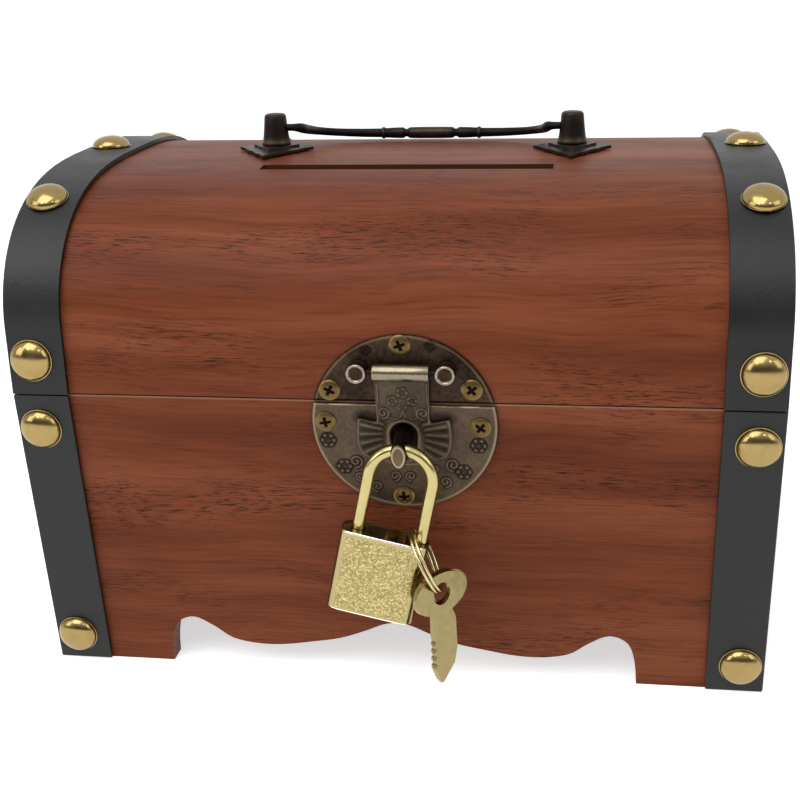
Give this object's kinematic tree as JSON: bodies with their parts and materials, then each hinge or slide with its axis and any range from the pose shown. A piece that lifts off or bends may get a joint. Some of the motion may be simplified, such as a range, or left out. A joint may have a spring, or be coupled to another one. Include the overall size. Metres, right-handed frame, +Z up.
{
  "type": "lock box",
  "caption": "Small wooden lock box: tapered base, arched lid with a coin slot, nailed black straps, round hasp lock with padlock and keys, folding handle.",
  "frame": {"origin": "middle of the whole part's width and depth, on the ground plane", "axes": "+X to the right as seen from the front, +Y to the back where the hinges are, +Z up; the hasp lock and padlock are on the -Y side"},
  "size_m": [0.2, 0.1672, 0.1484],
  "materials": {
    "mahogany_veneer": "satin lacquered red-brown veneer",
    "inner_board": "plain unlacquered board",
    "black_leather": "satin black",
    "polished_brass": "polished",
    "dark_bronze": "dark antique plating",
    "antique_bronze": "antique plating rubbed bright on the edges",
    "pale_brass": "polished pale brass plating",
    "plated_steel": "brass-plated steel"
  },
  "bodies": {
    "base": {"front_board": "mahogany_veneer", "back_board": "mahogany_veneer", "end_board_left": "mahogany_veneer", "end_board_right": "mahogany_veneer", "floor_board": "inner_board", "base_strap_left_front": "black_leather", "base_strap_left_back": "black_leather", "base_strap_right_front": "black_leather", "base_strap_right_back": "black_leather", "nail_base_left_front_upper": "polished_brass", "nail_base_left_front_lower": "polished_brass", "nail_base_left_back_upper": "polished_brass", "nail_base_left_back_lower": "polished_brass", "nail_base_right_front_upper": "polished_brass", "nail_base_right_front_lower": "polished_brass", "nail_base_right_back_upper": "polished_brass", "nail_base_right_back_lower": "polished_brass", "lock_plate_lower": "antique_bronze", "staple": "plated_steel", "hinge_leaf_lower_left": "antique_bronze", "hinge_leaf_lower_right": "antique_bronze", "hinge_pin_left": "plated_steel", "hinge_pin_right": "plated_steel"},
    "lid": {"lid_shell": "mahogany_veneer", "lid_end_left": "mahogany_veneer", "lid_end_right": "mahogany_veneer", "lid_strap_left": "black_leather", "lid_strap_right": "black_leather", "nail_lid_left_crown": "polished_brass", "nail_lid_right_crown": "polished_brass", "nail_lid_left_front_upper": "polished_brass", "nail_lid_left_front_lower": "polished_brass", "nail_lid_left_back_upper": "polished_brass", "nail_lid_left_back_lower": "polished_brass", "nail_lid_right_front_upper": "polished_brass", "nail_lid_right_front_lower": "polished_brass", "nail_lid_right_back_upper": "polished_brass", "nail_lid_right_back_lower": "polished_brass", "lock_plate_upper": "dark_bronze", "hasp_rivet_left": "plated_steel", "hasp_rivet_right": "plated_steel", "hasp_pin": "plated_steel", "handle_plate_left": "dark_bronze", "handle_plate_right": "dark_bronze", "handle_post_left": "dark_bronze", "handle_post_right": "dark_bronze", "handle_nut_left": "plated_steel", "handle_nut_right": "plated_steel", "hinge_leaf_upper_left": "antique_bronze", "hinge_leaf_upper_right": "antique_bronze"},
    "hasp": {"hasp": "antique_bronze"},
    "bail": {"bail": "dark_bronze"},
    "shackle": {"shackle": "pale_brass"},
    "padlock_body": {"padlock_body": "pale_brass"},
    "key_ring": {"key_ring": "pale_brass"},
    "key_front": {"key_front": "pale_brass"},
    "key_back": {"key_back": "pale_brass"}
  },
  "joints": [
    {"name": "lid_hinge", "type": "hinge", "parent": "base", "child": "lid", "pos_m": [0, 0.08103, 0.0846], "axis": [-1, 0, 0], "range_deg": [0, 100]},
    {"name": "hasp_hinge", "type": "hinge", "parent": "lid", "child": "hasp", "pos_m": [0.0048, -0.06817, 0.0934], "axis": [-1, 0, 0], "range_deg": [0, 165]},
    {"name": "bail_hinge", "type": "hinge", "parent": "lid", "child": "bail", "pos_m": [0.0014, 0.00713, 0.1443], "axis": [1, 0, 0], "range_deg": [0, 206]},
    {"name": "shackle_swing", "type": "hinge", "parent": "base", "child": "shackle", "pos_m": [0.0048, -0.07348, 0.07484], "axis": [-1, 0, 0], "range_deg": [0, 75]},
    {"name": "padlock_slide", "type": "slide", "parent": "shackle", "child": "padlock_body", "axis": [-0.2113, 0, -0.9774], "range_m": [0, 0.007]},
    {"name": "ring_swing", "type": "hinge", "parent": "padlock_body", "child": "key_ring", "pos_m": [0.00744, -0.07348, 0.05262], "axis": [0.1442, -0.9877, 0.0606], "range_deg": [0, 50]},
    {"name": "key_front_swing", "type": "hinge", "parent": "key_ring", "child": "key_front", "pos_m": [0.01472, -0.07591, 0.03699], "axis": [0.7861, -0.6142, 0.0698], "range_deg": [0, 30]},
    {"name": "key_back_swing", "type": "hinge", "parent": "key_ring", "child": "key_back", "pos_m": [0.01452, -0.07359, 0.03651], "axis": [0.7861, -0.6142, 0.0698], "range_deg": [0, 30]}
  ]
}
